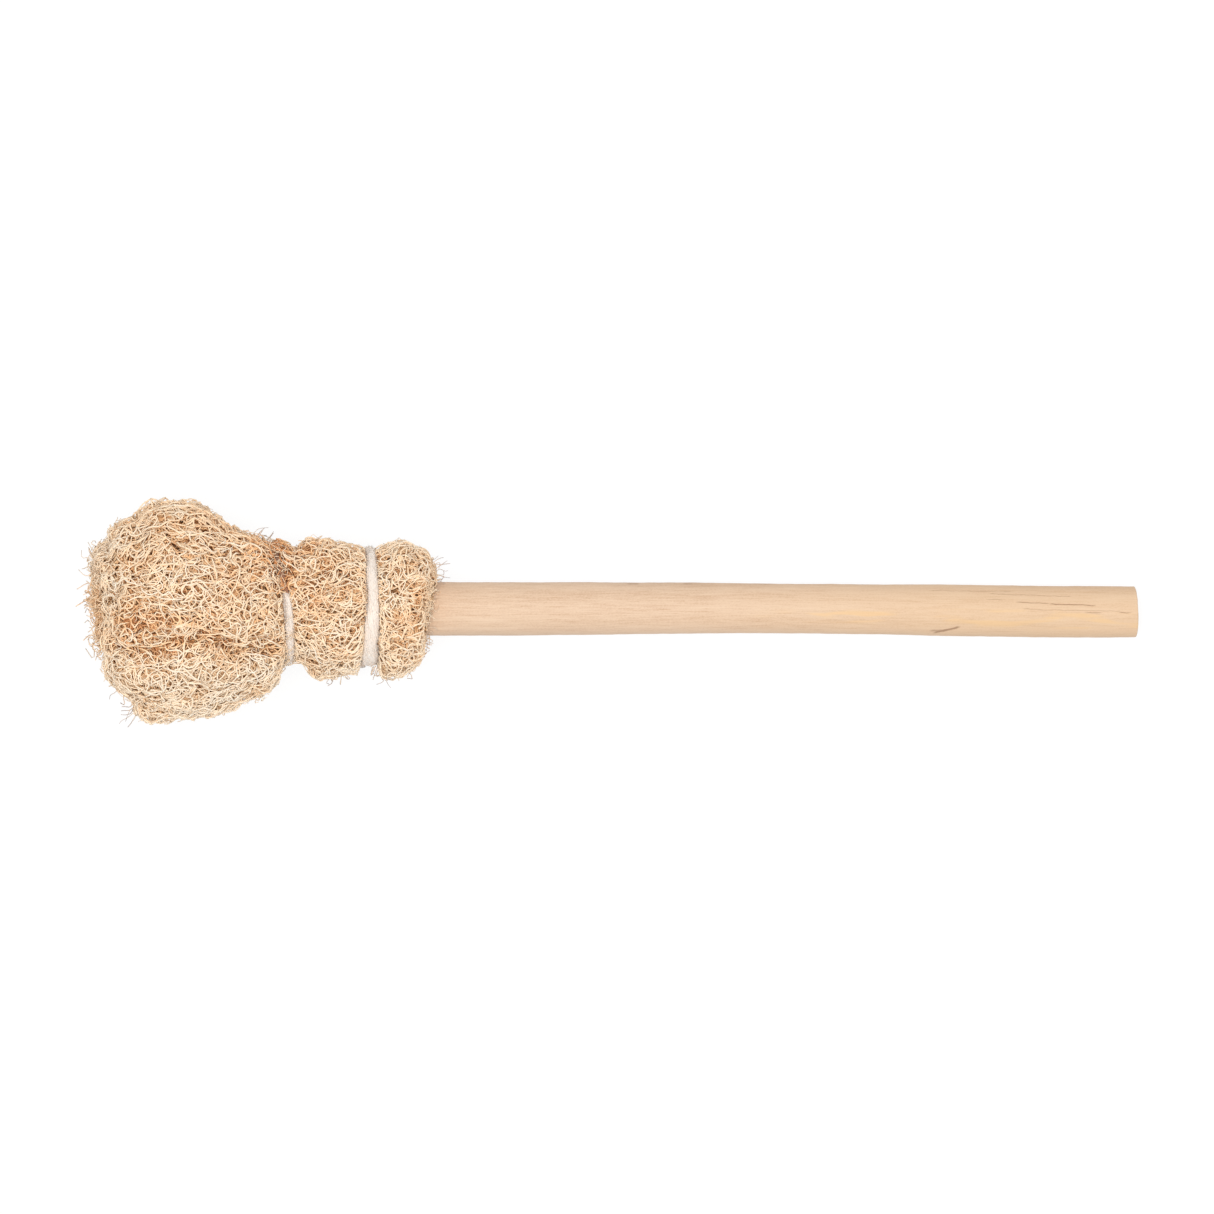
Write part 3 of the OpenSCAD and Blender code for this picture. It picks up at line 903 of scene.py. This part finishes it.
def dress(piece, material, node):
    """Gives a piece its material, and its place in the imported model."""
    piece.data.materials.append(material)
    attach(piece, "root")
    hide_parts(node)
    return piece


def some(spots, count, rng):
    return spots[rng.permutation(len(spots))[:count]]


def clear_of_ties(spots):
    """The spots that lie beside the ties, or where the mesh hides the neck tie."""
    place = to_brush(spots)
    clear_of_neck = (from_tie(place, NECK_TIE) > NECK_CLEAR) | (neck_cover(place) > 0.5)
    return spots[(from_tie(place, COLLAR_TIE) > COLLAR_CLEAR) & clear_of_neck]


def beside_neck_tie(spots):
    """The spots in a narrow band on either side of the neck tie."""
    return spots[np.abs(from_tie(to_brush(spots), NECK_TIE) - 1.2) < 0.5]


def beside_furrows(spots):
    """The spots that lie along the shoulders of a furrow."""
    near = furrow(to_brush(spots), 1.5)
    return spots[(near > 0.25) & (near < 0.6)]


def make_net(fibre):
    for name, layer in LAYERS.items():
        strands = Strands(layer["sides"])
        net(strands, layer, np.random.default_rng(layer["seed"]))
        for side, low, high in (("head", -9, NECK_AT), ("collar", NECK_AT, 99)):
            dress(strands.part(low, high).build(f"loofah_{side}_{name}"), fibre, "loofah")


def make_long_fibres(fibre):
    rng = np.random.default_rng(450)
    strands = Strands(4)
    spots = skin.scatter(1.0, rng)
    for count, steps, height, radius, curl, pull, on_shoulders in WINDERS:
        starts = some(beside_furrows(spots) if on_shoulders else spots, count, rng)
        wander(strands, rng, starts, steps, height, radius, curl, pull)
    dress(strands.build("loofah_long"), fibre, "loofah")


def make_strays(fibre):
    rng = np.random.default_rng(500)
    strands = Strands(3)
    spots = skin.scatter(1.0, rng)
    for near, strays in ((clear_of_ties, STRAYS), (beside_neck_tie, TIE_STRAYS)):
        count, length, lift, radius, painted_grey = strays
        starts = some(near(spots), count, rng)
        loose(strands, rng, starts, length, lift, radius, STRAY_CURL, painted_grey)
    for station, side, upward, spread, count, toward, length, radius, painted_grey, brown in TUFTS:
        starts = near_spot(rng, station, side, upward, spread, count)
        loose(strands, rng, starts, length, TUFT_LIFT, radius, TUFT_CURL, painted_grey, brown, toward)
    dress(strands.build("loofah_strays"), fibre, "loofah")


# How many rounds the core is smoothed, and how deep it lies under the surface
CORE_ROUNDS = 10
CORE_INSET = 2.0


def make_core():
    """The dense inside of the roll, seen only through the openings of the mesh."""
    inner = Skin(frame["nodes"]["loofah"], CORE_ROUNDS)
    inset = np.where(inner.in_hole, 0.0, -CORE_INSET)
    points = inner.points + inner.normals * inset[:, None]
    dress(shown(mesh_of("loofah_core", points, [inner.faces])), core_material(), "loofah")


def handle_profile():
    """Stations and radii of the solid handle, from its own points."""
    place = to_brush(points_of(frame["nodes"]["handle"].data))
    stations = np.round(place[:, 0], 2)
    radii = round_axis(place)[1]
    rings = np.unique(stations)
    return rings, np.array([radii[stations == at].max() for at in rings])


# The handle: its rough radius, points in a row, rows along it, how far it is bowed between
# the roll and its butt, the rounding of the butt's edge, and how far the butt is sawn off
# square, as a share of its width
HANDLE_R = 4
HANDLE_SIDES = 72
HANDLE_ROWS = 230
HANDLE_BOW = 0.3
BUTT_EDGE = 0.22
SAW_SLANT = 0.03


def handle_rows():
    """Stations and radii of the handle's rows of points, and the radius of its butt."""
    rings, radii = handle_profile()
    inside = np.linspace(rings[0] + 0.5, BRUSH_LEN - 0.6, HANDLE_ROWS)
    edge = np.linspace(0, math.pi / 2, 5)
    butt_r = np.interp(BRUSH_LEN - 1, rings, radii)
    flat_r = butt_r - BUTT_EDGE
    rounded = BRUSH_LEN - BUTT_EDGE + BUTT_EDGE * np.sin(edge)
    stations = np.concatenate([[rings[0]] * 3, inside, rounded, [BRUSH_LEN] * 5])
    profile = np.concatenate([
        [0.01, 2.0, radii[0]],
        np.interp(inside, rings, radii),
        flat_r + BUTT_EDGE * np.cos(edge),
        flat_r * np.array([0.85, 0.65, 0.45, 0.22, 0.005]),
    ])
    return stations, profile, butt_r


def make_handle():
    """The turned handle, a little bowed and a little uneven."""
    stations, profile, butt_r = handle_rows()
    angles = np.arange(HANDLE_SIDES) * TURN / HANDLE_SIDES
    place = np.stack([
        np.repeat(stations[:, None], HANDLE_SIDES, 1),
        profile[:, None] * np.cos(angles),
        profile[:, None] * np.sin(angles),
    ], -1)
    uneven = 0.025 * waves(place * [0.25, 1, 1], 4.0, 31)
    uneven = uneven + 0.012 * waves(place * [0.6, 1, 1], 1.6, 32)
    outside = ease((profile - 3.0) / 0.8)[:, None]
    place[..., 1:] *= 1 + (uneven * outside / HANDLE_R)[..., None]
    grain = place.copy()
    sawn = 0.05 * waves(place, 2.2, 33) * ease((place[..., 0] - BRUSH_LEN + 0.05) / 0.05)
    slant = SAW_SLANT * (place[..., 1] + butt_r) * ease(place[..., 0] - BRUSH_LEN + 1)
    place[..., 0] -= np.abs(sawn) + slant
    bow = np.clip((stations - ROLL_END) / (MOUNT_STATION - ROLL_END), 0, 1)
    place[..., 1] += HANDLE_BOW * (np.sin(math.pi * bow) ** 1.5)[:, None]
    faces = tube_faces(np.array([0]), len(stations), HANDLE_SIDES)
    mesh = mesh_of("handle_wood", from_brush(place).reshape(-1, 3), faces)
    mark(mesh, "grain", "FLOAT_VECTOR", grain)
    dress(shown(mesh), wood_material(), "handle")


# Marks on the upper side of the handle: first and last station, sideways place at both,
# half width and strength
CRACKS = (
    (141.0, 146.6, 1.35, 1.2, 0.07, 0.55),
    (146.0, 153.6, 1.15, 0.95, 0.07, 0.75),
    (151.5, 154.5, -0.1, -0.15, 0.08, 0.5),
    (156.6, 159.0, -0.1, -0.12, 0.07, 0.7),
    (136.5, 139.5, 1.75, 1.7, 0.08, 0.3),
    (137.0, 150.0, 2.6, 2.3, 0.05, 0.4),
    (144.0, 157.5, 0.25, 0.1, 0.05, 0.35),
    (128.0, 141.0, 3.0, 2.9, 0.05, 0.3),
    (142.0, 145.6, 0.4, 0.3, 0.08, 0.25),
    (128.6, 133.0, -3.5, -2.45, 0.13, 0.75),
    (128.0, 130.8, -3.15, -3.05, 0.12, 0.5),
    (85.2, 85.9, -0.95, -0.95, 0.12, 0.5),
    (94.0, 94.6, -0.8, -0.85, 0.10, 0.45),
    (82.0, 84.5, 3.72, 3.7, 0.10, 0.5),
    (90.5, 92.5, 3.7, 3.7, 0.10, 0.4),
)


def yellow_streaks(s, grain, x, y, z):
    """How yellow the wood is, in streaks on the upper side that widen toward the butt."""
    streak = s.grain(grain, (0.14, 0.9, 0.5), 1.0)
    widening = s.math("MULTIPLY_ADD", x, -0.016, 1.6)
    away = s.math("ADD", s.math("ABSOLUTE", s.math("ADD", y, 1.1)), widening)
    band = s.math("MULTIPLY", s.span(away, 1.0, 0.2), s.span(x, 98.0, 112.0))
    band = s.math("MULTIPLY", band, s.span(z, 0.0, 1.0))
    return s.math("MULTIPLY", band, s.span(streak, 0.48, 0.66, 0.0, 0.65))


def cracks(s, grain, x, y, z):
    """How dark the wood is in its cracks."""
    shake = s.grain(grain, (0.8, 1.5, 1.5), 2.0)
    bent = s.math("ADD", y, s.math("MULTIPLY_ADD", shake, 0.3, -0.15))
    dark = 0.0
    for start, end, y_start, y_end, half, strength in CRACKS:
        slope = (y_end - y_start) / (end - start)
        line = s.math("MULTIPLY_ADD", x, slope, y_start - slope * start)
        away = s.math("ABSOLUTE", s.math("SUBTRACT", bent, line))
        fade = s.math("MULTIPLY", s.span(x, start, start + 0.8), s.span(x, end, end - 0.8))
        seen = s.math("MULTIPLY", s.span(away, 1.6 * half, 0.3 * half, 0.0, strength), fade)
        dark = s.math("MAXIMUM", dark, s.math("MULTIPLY", seen, s.span(z, -0.5, 0.5)))
    return dark


def wood_material():
    """Pale straw-coloured wood with a fine long grain, a few cracks and yellow streaks."""
    s = Shader("handle_wood")
    grain = s.attribute("grain")["Vector"]
    axes = s.node("SeparateXYZ", {"Vector": grain}).outputs
    x, y, z = axes["X"], axes["Y"], axes["Z"]
    wavy = s.grain(grain, (0.03, 0.5, 0.5), 2.0)
    fine = s.grain(grain, (0.22, 5.0, 5.0), 4.0, 0.65)
    broad = s.grain(grain, (0.03, 0.45, 0.45), 3.0)
    layers = s.math("ADD", s.math("MULTIPLY", y, 3.4), s.math("MULTIPLY", z, 2.1))
    rings = s.math("SINE", s.math("MULTIPLY_ADD", wavy, 9.0, layers))
    sand = s.grain(grain, (3.5, 7.0, 7.0), 2.0, 0.6)
    tone = s.math("MULTIPLY_ADD", broad, 0.35, s.math("MULTIPLY_ADD", sand, 0.5, -0.325))
    tone = s.math("MULTIPLY_ADD", rings, 0.03, s.math("MULTIPLY_ADD", fine, 0.8, tone))
    colour = s.ramp(tone, (0.25, (202, 167, 137)), (0.5, (221, 191, 163)), (0.75, (229, 202, 175)))
    # Greyer on the -Y side of the handle: painted shade
    painted_grey = s.span(s.math("ADD", y, s.math("MULTIPLY", wavy, 1.6)), -1.6, -3.4)
    colour = s.mix(s.math("MULTIPLY", painted_grey, 0.4), colour, srgb((218, 192, 168)))
    pores = s.grain(grain, (0.45, 6.0, 6.0), 1.0)
    colour = s.mix(s.span(pores, 0.68, 0.8, 0.0, 0.35), colour, srgb((196, 154, 118)))
    colour = s.mix(yellow_streaks(s, grain, x, y, z), colour, srgb((236, 197, 146)))
    colour = s.mix(s.span(x, 80.0, 145.0, 0.0, 0.4), colour, srgb((223, 188, 147)))
    dark = cracks(s, grain, x, y, z)
    colour = s.mix(dark, colour, srgb((150, 112, 84)))
    s.bump(s.math("SUBTRACT", fine, dark), 0.00006, 0.6)
    return s.finish(colour, Roughness=0.58, Specular_IOR_Level=0.2)


def cotton_material():
    """Soft white roving with fine fibres along it, in brown shade where the mesh hides it."""
    s = Shader("tie_cotton")
    grain = s.attribute("grain")["Vector"]
    fine = s.grain(grain, (0.5, 9.0, 1.0), 3.0, 0.6)
    broad = s.grain(grain, (0.25, 2.2, 1.0), 2.0)
    tone = s.math("MULTIPLY_ADD", fine, 0.8, s.math("MULTIPLY", broad, 0.4))
    colour = s.ramp(tone, (0.3, (230, 208, 190)), (0.55, (247, 233, 220)), (0.8, (253, 246, 238)))
    shade = s.span(s.attribute("shade")["Fac"], 0.2, 0.6, 0.0, 0.9)
    colour = s.mix(shade, colour, srgb((160, 102, 62)))
    s.bump(tone, 0.00022, 0.8)
    return s.finish(colour, Roughness=0.95, Specular_IOR_Level=0.15, Sheen_Weight=0.25)


def lint_material():
    """The single fine fibres of cotton round a tie."""
    s = Shader("tie_lint")
    return s.finish(srgb((250, 240, 230)), Roughness=0.95, Specular_IOR_Level=0.1)


class Roving:
    """Soft flat lengths of cotton that share one mesh."""

    def __init__(self, sides=28):
        self.sides = sides
        self.points, self.faces, self.grain, self.start = [], [], [], 0

    def add(self, centre, radial, axial, half_w, half_t, twist, seed):
        """One length along a path, with closed ends. The directions of its thickness and of
        its width are the same all along it or given point by point."""
        steps = len(centre)
        lengths = np.linalg.norm(np.diff(centre, axis=0), axis=1)
        along = np.concatenate([[0], np.cumsum(lengths)])[:, None]
        turns = np.arange(self.sides) * TURN / self.sides
        spun = turns + twist * along
        along = along + 0 * spun
        place = np.stack([along * 0.7, 3 * np.cos(spun), 3 * np.sin(spun)], -1)
        ridges = 1 + 0.07 * waves(place, 1.7, seed) + 0.04 * waves(place, 0.8, seed + 1)
        w = np.broadcast_to(half_w, steps)[:, None] * np.cos(turns) * ridges
        h = np.broadcast_to(half_t, steps)[:, None] * np.sin(turns) * ridges
        offset = axial[..., None, :] * w[..., None] + radial[..., None, :] * h[..., None]
        grain = np.stack([along, spun * 1.2, 7.0 * seed + 0 * spun], -1)
        self.points.append((centre[:, None] + offset).reshape(-1, 3))
        self.grain.append(grain.reshape(-1, 3))
        self.faces += tube_faces(np.array([self.start]), steps, self.sides)
        self.start += steps * self.sides

    def build(self, name):
        points = np.concatenate(self.points)
        mesh = mesh_of(name, from_brush(points), self.faces)
        mark(mesh, "grain", "FLOAT_VECTOR", np.concatenate(self.grain))
        mark(mesh, "shade", "FLOAT", neck_notch(points))
        return shown(mesh)


def ring(tie, angles, radius):
    """Points of a tie's ring, with the outward direction and the tie's axis at each."""
    outward = np.stack([0 * angles, np.cos(angles), np.sin(angles)], -1)
    axis = np.broadcast_to([1.0, 0.0, 0.0], outward.shape)
    level = {**tie, "at": 0.0, "side": 0.0, "bow": 0.0}
    return out_of_tie(outward * radius, tie), out_of_tie(outward, level), out_of_tie(axis, level)


def hairs(strands, rng, tie, count):
    """Fine ends of cotton that stand off the ring, but not where the mesh hides it."""
    each = (count, 1)
    angles = rng.uniform(0, TURN, each)
    t = np.linspace(0, 1, 6)
    reach = rng.uniform(0.4, 1.5, each) / tie["bind_r"] * rng.choice([-1, 1], each)
    mean_r = tie["bind_r"] + TIE_GAP + TIE_T / 2
    centre, outward, axial = ring(tie, angles + reach * t, mean_r)
    around = rng.uniform(-0.35, math.pi + 0.35, each)
    out = 0.85 + rng.uniform(0.05, 0.8, each) * t**1.3
    w = half_width(tie, angles) * np.cos(around) * out
    h = TIE_T / 2 * np.sin(around) * out
    bend = 0.12 * np.sin(TURN * t * rng.uniform(0.4, 1.2, each) + rng.uniform(0, TURN, each))
    path = centre + axial * (w + bend * t)[..., None] + outward * h[..., None]
    thick = rng.uniform(0.018, 0.035, each) * (1 - 0.5 * t)
    tint = np.clip(rng.normal(0.7, 0.2, each) + 0 * t, 0, 1)
    marks = np.stack([tint, 0 * tint, 0 * tint], -1)
    bare = neck_notch(path).max(axis=1) < 0.4
    strands.add(from_brush(path)[bare], (outward @ BRUSH)[bare], thick[bare], marks[bare])


# The knot: directions of its two loops in degrees, half their length and how far they rise,
# and half width and half thickness of the roving in them and in the tails
LOOP_TURNS = (50, 130)
LOOP_HALF = 1.15
LOOP_RISE = 0.42
LOOP_SIZE = (0.42, 0.36)
TAIL_SIZE = (0.38, 0.28)

# How far the roving is twisted in radians a millimetre, and the number of hairs on a tie
KNOT_TWIST = 0.8
RING_TWIST = 0.35
HAIRS = 1500


def add_knot(roving, tie, radius, seed):
    """Two crossed loops and two frayed tails, on the hidden side."""
    at, out, across = (values[0] for values in ring(tie, np.array([KNOT_ANGLE]), radius))
    around = np.cross(across, out)
    t = np.linspace(-1, 1, 25)[:, None]
    for turn in LOOP_TURNS:
        way = across * math.cos(math.radians(turn)) + around * math.sin(math.radians(turn))
        rise = LOOP_RISE * np.cos(1.9 * t) - 0.05
        loop = at + way * LOOP_HALF * np.sin(1.35 * t) + out * rise
        roving.add(loop, out, np.cross(out, way), *LOOP_SIZE, KNOT_TWIST, seed + turn)
    t = np.linspace(0, 1, 41)[:, None]
    for end in (-1, 1):
        tail = at + out * (0.15 + 0.2 * t + 0.12 * np.sin(5 * t))
        tail = tail + across * end * (0.3 + 0.6 * t) + around * end * (0.2 + (TAIL_LEN - 0.2) * t)
        fray = 1 + 0.5 * ease((t[:, 0] - 0.6) / 0.4)
        half_w, half_t = TAIL_SIZE
        roving.add(tail, out, -across * end, half_w * fray, half_t, KNOT_TWIST, seed + 3 + end)


def make_tie(node, tie, seed, cotton, lint):
    """Cotton roving round the roll, knotted on the hidden side, with its lint."""
    roving = Roving()
    inner_r = tie["bind_r"] + TIE_GAP
    angles = KNOT_ANGLE + np.linspace(0, TURN, 301)
    sag = 0.12 * np.sin(2 * angles + seed) + 0.08 * np.sin(5 * angles)
    centre, radial, axial = ring(tie, angles, inner_r + TIE_T / 2)
    centre = centre + axial * sag[:, None]
    roving.add(centre, radial, axial, half_width(tie, angles), TIE_T / 2, RING_TWIST, seed)
    add_knot(roving, tie, inner_r + TIE_T, seed)
    dress(roving.build(f"{node}_cotton"), cotton, node)
    strands = Strands(3)
    hairs(strands, np.random.default_rng(seed), tie, HAIRS)
    dress(strands.build(f"{node}_lint"), lint, node)


# The floor: half its size, the strength of its white, and how much of its look to the camera
# is that plain white, so that its shadow is faint
FLOOR_HALF = 1500
FLOOR_GLOW = 1.04
FLOOR_WHITE = 0.85


def make_floor():
    """A pale surface, white to the camera but for the brush's soft shadow."""
    corners = FLOOR_HALF * np.array([(-1, -1, 0), (1, -1, 0), (1, 1, 0), (-1, 1, 0)])
    mesh = mesh_of("floor", corners, [np.array([[0, 1, 2, 3]])])
    s = Shader("floor")
    material = s.finish((0.9, 0.9, 0.9, 1), Roughness=1.0, Specular_IOR_Level=0.0)
    share = s.math("MULTIPLY", s.plain_view(), FLOOR_WHITE)
    glow = s.node("Emission", {"Strength": FLOOR_GLOW}).outputs[0]
    blend = s.node("MixShader", {0: share, 1: s.main.outputs[0], 2: glow}).outputs[0]
    s.put(s.tree.nodes["Material Output"].inputs["Surface"], blend)
    mesh.materials.append(material)
    shown(mesh)


# The lamps: place and width in metres, and the share of full brightness that each gives to
# a level surface. With the sky's share they make 1.25.
LAMPS = (
    ("key", (-0.1, -0.02, 1.15), 0.5, 0.61),
    ("fill", (0.5, 0.0, 1.1), 0.8, 0.10),
)
SKY_SHARE = 0.54


def make_light():
    """Round soft lamps that face the brush, and a sky that is white to the camera."""
    for name, place, size, share in LAMPS:
        data = bpy.data.lights.new(name, "AREA")
        data.shape = "DISK"
        data.size = size
        data.energy = share * math.pi**2 * math.dist(place, (0, 0, 0)) ** 3 / place[2]
        light = shown(data)
        light.location = place
        light.rotation_mode = "QUATERNION"
        light.rotation_quaternion = (-Vector(place)).to_track_quat("-Z", "Y")
    world = bpy.data.worlds.new("studio")
    bpy.context.scene.world = world
    world.use_nodes = True
    s = Nodes(world.node_tree)
    background = s.tree.nodes["Background"].inputs
    s.put(background["Color"], (1, 1, 1, 1))
    s.put(background["Strength"], s.span(s.plain_view(), 0.0, 1.0, SKY_SHARE))


# The camera's place in metres, its lens in millimetres on a frame of 36, and its roll
CAMERA_PLACE = (-0.00087, 0.0004, 1.5)
CAMERA_LENS = 291.98
CAMERA_ROLL = math.radians(0.25)


def make_camera():
    """Straight above and far away, with the slight roll of the photograph."""
    data = bpy.data.cameras.new("camera")
    data.lens = CAMERA_LENS
    data.sensor_width = 36.0
    camera = shown(data)
    camera.location = CAMERA_PLACE
    camera.rotation_euler = (0, 0, CAMERA_ROLL)
    bpy.context.scene.camera = camera


make_core()
fibre = fibre_material()
make_net(fibre)
make_long_fibres(fibre)
make_strays(fibre)
make_handle()
cotton, lint = cotton_material(), lint_material()
make_tie("neck_tie", NECK_TIE, 61, cotton, lint)
make_tie("collar_tie", COLLAR_TIE, 62, cotton, lint)
make_floor()
make_light()
make_camera()
bpy.context.scene.view_settings.view_transform = "Standard"
